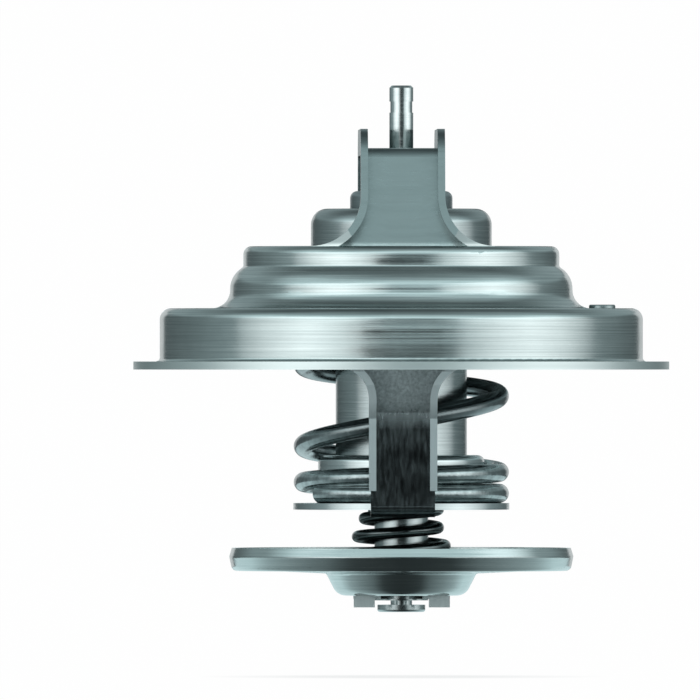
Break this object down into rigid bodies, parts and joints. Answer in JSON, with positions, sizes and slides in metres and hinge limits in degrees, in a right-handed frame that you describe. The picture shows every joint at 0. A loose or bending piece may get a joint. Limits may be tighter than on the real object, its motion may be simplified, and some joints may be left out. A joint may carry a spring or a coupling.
{
  "type": "engine thermostat",
  "caption": "Wax-element coolant valve: stepped flanged dome with bridge and fixed pin, sprung main valve inside, sprung bypass disc below.",
  "frame": {"origin": "centre of the flange's underside, on the thermostat's axis", "axes": "+Z along the axis towards the bridge and the pin; the legs of both frames stand at -Y and +Y; the vent is near +X, turned 17 degrees towards -Y"},
  "size_m": [0.067, 0.067, 0.0658],
  "materials": {
    "drawn_steel": "drawn sheet with fine turning streaks",
    "leg_steel": "stamped sheet",
    "seat_steel": "stamped sheet",
    "pin_steel": "ground",
    "spring_steel": "dark oiled wire",
    "element_metal": "bright drawn",
    "guide_metal": "turned",
    "boot_rubber": "matte",
    "wax": "waxy",
    "ring_plastic": "moulded",
    "plate_steel": "stamped sheet",
    "seal_rubber": "matte",
    "bypass_spring_steel": "dark wire",
    "disc_steel": "bright rolled sheet",
    "clip_steel": "stamped",
    "vent_steel": "turned"
  },
  "bodies": {
    "frame": {"upper_frame": "drawn_steel", "lower_frame": "leg_steel", "spring_seat": "seat_steel", "piston_pin": "pin_steel", "main_spring": "spring_steel"},
    "element": {"element_cup": "element_metal", "element_guide": "guide_metal", "rubber_boot": "boot_rubber", "wax_charge": "wax", "backup_ring": "ring_plastic", "valve_plate": "plate_steel", "valve_seal": "seal_rubber", "bypass_spring": "bypass_spring_steel", "retaining_clip": "clip_steel"},
    "bypass": {"bypass_disc": "disc_steel"},
    "vent": {"jiggle_pin": "vent_steel"}
  },
  "joints": [
    {"name": "valve_opening", "type": "slide", "parent": "frame", "child": "element", "axis": [0, 0, -1], "range_m": [0, 0.008], "stiffness_N_per_m": 8000, "springref_m": -0.012, "deforming": ["main_spring"]},
    {"name": "bypass_slide", "type": "slide", "parent": "element", "child": "bypass", "axis": [0, 0, 1], "range_m": [0, 0.004], "stiffness_N_per_m": 2500, "springref_m": -0.003, "deforming": ["bypass_spring"]},
    {"name": "vent_slide", "type": "slide", "parent": "frame", "child": "vent", "axis": [0, 0, 1], "range_m": [0, 0.001]}
  ]
}
